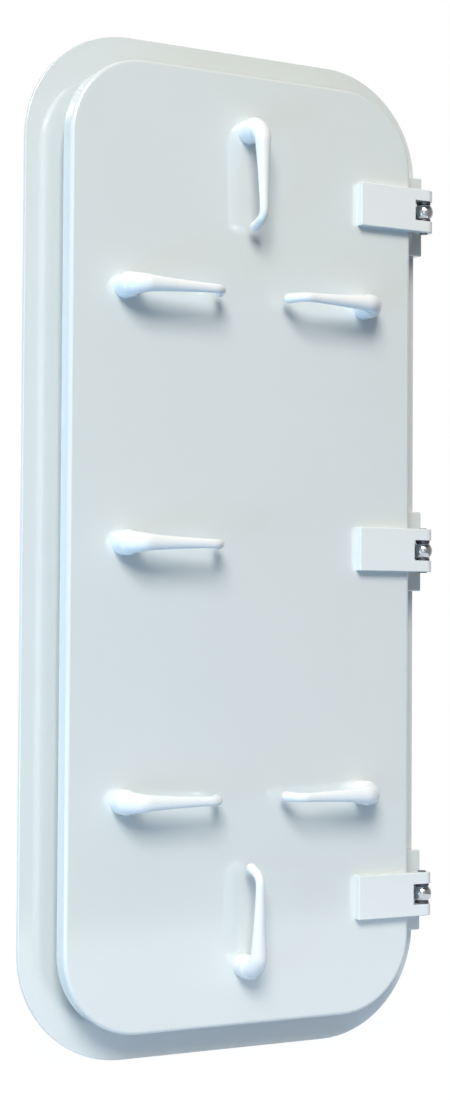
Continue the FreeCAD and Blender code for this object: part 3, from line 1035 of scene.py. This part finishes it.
@dataclass
class Studio:
    """Pale floor, white surroundings, soft lamps, and the camera.

    A direction's x, y and z run from -1 to 1, with y below zero in front of the door.

    Attributes:
        eye: where the camera stands.
        yaw: how far it looks to the right of straight ahead, in radians.
        pitch: how far it looks up.
        roll: how far it is tilted.
        lens: focal length in millimetres.
        sensor: width of its sensor in millimetres.
        view_depth: how far it sees.
        floor_drop: floor below the door.
        floor_reach: from the middle of the floor to its edges.
        floor_colour: what the floor throws back on the door, as sRGB hex.
        floor_roughness: of the floor.
        floor_glow: strength of the white that covers the floor's own colour.
        floor_white: share of that white in what the camera sees.
        floor_white_in_gloss: share of it in what gloss sees.
        ambient_colour: of the soft light from all round, as sRGB hex.
        ambient_from: direction in which that light is strongest.
        ambient_near: its strength there.
        ambient_far: its strength in the half of the room away from there.
        room_left: brightness that gloss sees at the left, in front of the door.
        room_right: the same at the right.
        turn: x between which the one passes into the other.
        behind: y between which they pass into the white behind the door.
        room_above: share that is left of the brightness overhead.
        above: z between which it fades to that share.
        lamps: a warm key, a cool fill at the left, two panels that only gloss sees, and a
            light behind that only matt paint sees.
    """

    eye: tuple[float, float, float] = (-1.8590, -3.3609, -0.1433)
    yaw: float = 0.5052
    pitch: float = 0.0360
    roll: float = 0.0061
    lens: float = 69.1
    sensor: float = 36.0
    view_depth: float = 50.0
    floor_drop: float = 2.0 * MM
    floor_reach: float = 1.6
    floor_colour: str = "A3BAD5"
    floor_roughness: float = 0.9
    floor_glow: float = 1.12
    floor_white: float = 0.85
    floor_white_in_gloss: float = 0.7
    ambient_colour: str = "EBF1F7"
    ambient_from: tuple[float, float, float] = (-0.45, -0.25, 0.86)
    ambient_near: float = 0.75
    ambient_far: float = 0.04
    room_left: float = 0.6
    room_right: float = 0.3
    turn: tuple[float, float] = (-0.2, 0.35)
    behind: tuple[float, float] = (-0.2, 0.5)
    room_above: float = 0.3
    above: tuple[float, float] = (0.35, 0.7)
    lamps: tuple[Lamp, ...] = (
        Lamp("key_lamp", (-5.2, -9.4, 8.4), (5.6, 5.6), 1745.0, "FFFAF2"),
        Lamp("side_fill", (-3.4, -0.9, -1.3), (1.8, 1.8), 67.0, "86CCFF"),
        Lamp("front_strip", (-2.6, -5.0, 0.3), (1.1, 3.6), 13.0, diffuse=False),
        Lamp("front_arch", (-0.5, -5.0, 3.1), (3.4, 1.5), 26.0, diffuse=False),
        Lamp("back_fill", (2.6, 8.0, 3.0), (5.0, 5.0), 520.0, glossy=False))

    def build(self) -> None:
        """Set up camera, floor, surroundings and lamps."""
        self._camera()
        self._floor()
        self._world()
        for lamp in self.lamps:
            lamp.build(Vector((0, cad_box[0].y, 0)))
            LOG.info("%s: %g W", lamp.name, lamp.power)
        bpy.context.scene.view_settings.view_transform = "Standard"

    def _camera(self) -> None:
        """Stand the camera ahead of the door and to its left, near half its height."""
        data = bpy.data.cameras.new("camera")
        data.lens = self.lens
        data.sensor_width = self.sensor
        data.clip_end = self.view_depth
        camera = bpy.data.objects.new("camera", data)
        bpy.context.scene.collection.objects.link(camera)
        ahead = Vector((math.sin(self.yaw), math.cos(self.yaw), 0))
        right = Vector((math.cos(self.yaw), -math.sin(self.yaw), 0))
        forward = ahead * math.cos(self.pitch) + UP * math.sin(self.pitch)
        raised = UP * math.cos(self.pitch) - ahead * math.sin(self.pitch)
        across = right * math.cos(self.roll) + raised * math.sin(self.roll)
        upward = raised * math.cos(self.roll) - right * math.sin(self.roll)
        turn = Matrix((across, upward, -forward)).transposed().to_4x4()
        camera.matrix_world = Matrix.Translation(self.eye) @ turn
        bpy.context.scene.camera = camera

    def _floor(self) -> None:
        """Lay a large pale floor just under the door."""
        level = cad_box[0].z - self.floor_drop
        reach = self.floor_reach
        mesh = bpy.data.meshes.new("studio_floor")
        mesh.from_pydata([(-reach, -reach, level), (reach, -reach, level),
                          (reach, reach, level), (-reach, reach, level)], [], [(0, 1, 2, 3)])
        floor = mesh_object("studio_floor", mesh)
        material = bpy.data.materials.new("pale_studio_floor")
        material.use_nodes = True
        tree = material.node_tree
        shader = tree.nodes["Principled BSDF"]
        shader.inputs["Base Color"].default_value = linear(self.floor_colour)
        shader.inputs["Roughness"].default_value = self.floor_roughness
        path = add_node(tree, "ShaderNodeLightPath")
        white = add_node(tree, "ShaderNodeEmission", None,
                         {"Color": WHITE, "Strength": self.floor_glow})
        gloss = add_node(tree, "ShaderNodeMath", {"operation": "MULTIPLY"},
                         {0: path.outputs["Is Glossy Ray"], 1: self.floor_white_in_gloss})
        share = add_node(tree, "ShaderNodeMath", {"operation": "MULTIPLY_ADD"},
                         {0: self._direct(tree, path), 1: self.floor_white,
                          2: gloss.outputs[0]})
        both = add_node(tree, "ShaderNodeMixShader", None,
                        {0: share.outputs[0], 1: shader.outputs[0], 2: white.outputs[0]})
        tree.links.new(both.outputs[0], tree.nodes["Material Output"].inputs["Surface"])
        mesh.materials.append(material)

    @staticmethod
    def _direct(tree: bpy.types.NodeTree, path: bpy.types.Node) -> bpy.types.NodeSocket:
        """One where a ray comes from the camera, straight or through glass."""
        return add_node(tree, "ShaderNodeMath", {"operation": "MAXIMUM"},
                        {0: path.outputs["Is Camera Ray"],
                         1: path.outputs["Is Transmission Ray"]}).outputs[0]

    def _world(self) -> None:
        """Surround the door with white to the camera, a room to gloss, and soft cool light."""
        world = bpy.data.worlds.new("studio")
        bpy.context.scene.world = world
        world.use_nodes = True
        tree = world.node_tree
        tree.nodes.clear()
        path = add_node(tree, "ShaderNodeLightPath")
        way = add_node(tree, "ShaderNodeTexCoord").outputs["Generated"]
        axes = add_node(tree, "ShaderNodeSeparateXYZ", None, {0: way}).outputs
        towards = add_node(tree, "ShaderNodeVectorMath", {"operation": "DOT_PRODUCT"},
                           {0: way, 1: self.ambient_from})
        sky = add_node(tree, "ShaderNodeMapRange", None,
                       {"Value": towards.outputs["Value"], "From Min": 0.0, "From Max": 1.0,
                        "To Min": self.ambient_far, "To Max": self.ambient_near})
        room = add_node(tree, "ShaderNodeMapRange", None,
                        {"Value": axes["X"], "From Min": self.turn[0], "From Max": self.turn[1],
                         "To Min": self.room_left, "To Max": self.room_right})
        around = add_node(tree, "ShaderNodeMapRange", None,
                          {"Value": axes["Y"], "From Min": self.behind[0],
                           "From Max": self.behind[1], "To Min": room.outputs["Result"],
                           "To Max": 1.0})
        overhead = add_node(tree, "ShaderNodeMapRange", None,
                            {"Value": axes["Z"], "From Min": self.above[0],
                             "From Max": self.above[1], "To Min": 1.0,
                             "To Max": self.room_above})
        dimmed = add_node(tree, "ShaderNodeMath", {"operation": "MULTIPLY"},
                          {0: around.outputs["Result"], 1: overhead.outputs["Result"]})
        light = add_node(tree, "ShaderNodeBackground", None,
                         {"Color": linear(self.ambient_colour),
                          "Strength": sky.outputs["Result"]})
        gloss = add_node(tree, "ShaderNodeBackground", None,
                         {"Color": WHITE, "Strength": dimmed.outputs[0]})
        white = add_node(tree, "ShaderNodeBackground", None, {"Color": WHITE, "Strength": 1.0})
        lit = add_node(tree, "ShaderNodeMixShader", None,
                       {0: path.outputs["Is Glossy Ray"], 1: light.outputs[0],
                        2: gloss.outputs[0]})
        both = add_node(tree, "ShaderNodeMixShader", None,
                        {0: self._direct(tree, path), 1: lit.outputs[0],
                         2: white.outputs[0]})
        add_node(tree, "ShaderNodeOutputWorld", None, {"Surface": both.outputs[0]})


def main() -> None:
    """Build the studio and the door's pieces in order."""
    logging.basicConfig(level=logging.INFO, format="%(name)s %(message)s")
    Studio().build()
    Door().dress()
    HandLevers().build()
    WeldBeads().build()
    ScrewThreads().build()


if __name__ == "__main__":
    main()
